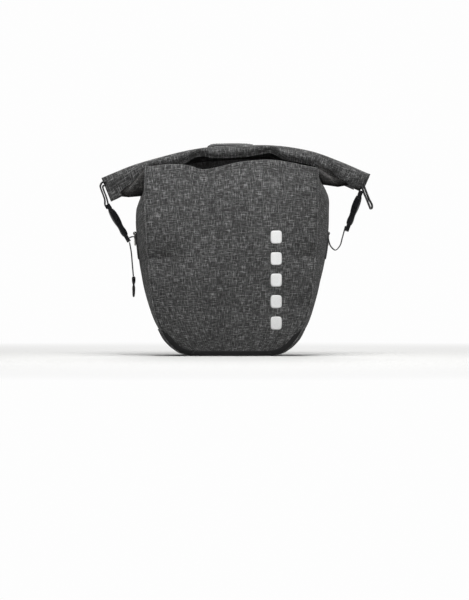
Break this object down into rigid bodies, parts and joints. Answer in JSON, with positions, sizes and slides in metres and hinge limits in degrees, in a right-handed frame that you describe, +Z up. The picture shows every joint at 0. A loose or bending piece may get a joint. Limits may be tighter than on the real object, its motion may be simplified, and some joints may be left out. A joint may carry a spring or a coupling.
{
  "type": "saddle bag",
  "caption": "Roll-top saddle bag for the side of a bicycle rack: tapered cloth body with rubber boot, side release buckles, hook rail with latching hooks and a lower foot.",
  "frame": {"origin": "centre of the underside, halfway through the bag's depth", "axes": "+X towards the front of the bicycle, -Y the outer face, +Y the rack side, +Z up"},
  "size_m": [0.4785, 0.1991, 0.37],
  "materials": {
    "heather_fabric": "matt coated heather cloth",
    "boot_rubber": "matt, lightly grained",
    "webbing": "black ribbed nylon webbing",
    "buckle_plastic": "black moulded acetal, satin",
    "hardware_plastic": "black glass-filled nylon",
    "board_plastic": "black polyethylene sheet",
    "liner_rubber": "soft grey rubber",
    "rail_aluminium": "black anodised",
    "fastener_steel": "satin stainless",
    "reflective_print": "pale reflective film"
  },
  "bodies": {
    "root": {"bottom_boot": "boot_rubber", "front_panel": "heather_fabric", "left_gusset": "heather_fabric", "right_gusset": "heather_fabric", "back_panel": "heather_fabric", "inner_backplate": "board_plastic", "base_board": "board_plastic", "reflective_marks": "reflective_print", "collar": "heather_fabric", "left_side_strap": "webbing", "right_side_strap": "webbing", "left_strap_patch": "webbing", "right_strap_patch": "webbing", "left_ring_tab": "webbing", "right_ring_tab": "webbing", "hook_rail": "rail_aluminium", "lower_rail": "rail_aluminium", "hook_rail_bolts": "fastener_steel", "lower_rail_bolts": "fastener_steel", "rail_end_caps": "hardware_plastic", "handle_brackets": "hardware_plastic"},
    "closure": {"rolled_top": "heather_fabric", "mouth_stiffener": "board_plastic", "left_side_fold": "heather_fabric", "right_side_fold": "heather_fabric", "left_upper_strap": "webbing", "right_upper_strap": "webbing", "left_buckle_socket": "buckle_plastic", "right_buckle_socket": "buckle_plastic", "left_strap_tail": "webbing", "left_tail_clip": "buckle_plastic"},
    "left_plug": {"left_buckle_plug": "buckle_plastic"},
    "right_plug": {"right_buckle_plug": "buckle_plastic"},
    "left_hook_body": {"left_hook": "hardware_plastic", "left_hook_liner": "liner_rubber", "left_slide_nut": "fastener_steel", "left_hook_screw": "fastener_steel", "left_latch_pin": "fastener_steel", "left_latch_spring": "fastener_steel"},
    "right_hook_body": {"right_hook": "hardware_plastic", "right_hook_liner": "liner_rubber", "right_slide_nut": "fastener_steel", "right_hook_screw": "fastener_steel", "right_latch_pin": "fastener_steel", "right_latch_spring": "fastener_steel"},
    "left_latch_body": {"left_latch": "hardware_plastic"},
    "right_latch_body": {"right_latch": "hardware_plastic"},
    "left_ring_body": {"left_d_ring": "fastener_steel"},
    "right_ring_body": {"right_d_ring": "fastener_steel"},
    "handle_body": {"carry_handle": "webbing"},
    "anchor_body": {"anchor_slider": "hardware_plastic", "anchor_screw": "fastener_steel"},
    "foot_body": {"anchor_foot": "hardware_plastic"}
  },
  "joints": [
    {"name": "closure_lift", "type": "slide", "parent": "root", "child": "closure", "axis": [0, 0, 1], "range_m": [0, 0.06], "deforming": ["collar", "left_side_strap", "right_side_strap"]},
    {"name": "left_buckle_release", "type": "slide", "parent": "closure", "child": "left_plug", "axis": [0.5, 0, -0.866], "range_m": [0, 0.016], "deforming": ["left_side_strap", "left_strap_tail"]},
    {"name": "right_buckle_release", "type": "slide", "parent": "closure", "child": "right_plug", "axis": [-0.342, 0, -0.9397], "range_m": [0, 0.016], "deforming": ["right_side_strap"]},
    {"name": "left_hook_slide", "type": "slide", "parent": "root", "child": "left_hook_body", "axis": [1, 0, 0], "range_m": [-0.015, 0.024]},
    {"name": "right_hook_slide", "type": "slide", "parent": "root", "child": "right_hook_body", "axis": [1, 0, 0], "range_m": [-0.024, 0.015]},
    {"name": "left_latch_swing", "type": "hinge", "parent": "left_hook_body", "child": "left_latch_body", "pos_m": [-0.095, 0.09, 0.267], "axis": [-1, 0, 0], "range_deg": [0, 60], "stiffness_Nm_per_rad": 0.02, "springref_deg": -22.92},
    {"name": "right_latch_swing", "type": "hinge", "parent": "right_hook_body", "child": "right_latch_body", "pos_m": [0.095, 0.09, 0.267], "axis": [-1, 0, 0], "range_deg": [0, 60], "stiffness_Nm_per_rad": 0.02, "springref_deg": -22.92},
    {"name": "left_ring_swing", "type": "hinge", "parent": "root", "child": "left_ring_body", "pos_m": [-0.17, 0.044, 0.214], "axis": [0, 1, 0], "range_deg": [0, 120]},
    {"name": "right_ring_swing", "type": "hinge", "parent": "root", "child": "right_ring_body", "pos_m": [0.17, 0.044, 0.214], "axis": [0, -1, 0], "range_deg": [0, 120]},
    {"name": "handle_swing", "type": "hinge", "parent": "root", "child": "handle_body", "pos_m": [0, 0.086, 0.328], "axis": [-1, 0, 0], "range_deg": [0, 70]},
    {"name": "anchor_slide", "type": "slide", "parent": "root", "child": "anchor_body", "axis": [1, 0, 0], "range_m": [-0.05, 0.05]},
    {"name": "foot_turn", "type": "hinge", "parent": "anchor_body", "child": "foot_body", "pos_m": [0, 0.0828, 0.11], "axis": [0, 1, 0], "range_deg": [-90, 90]}
  ]
}
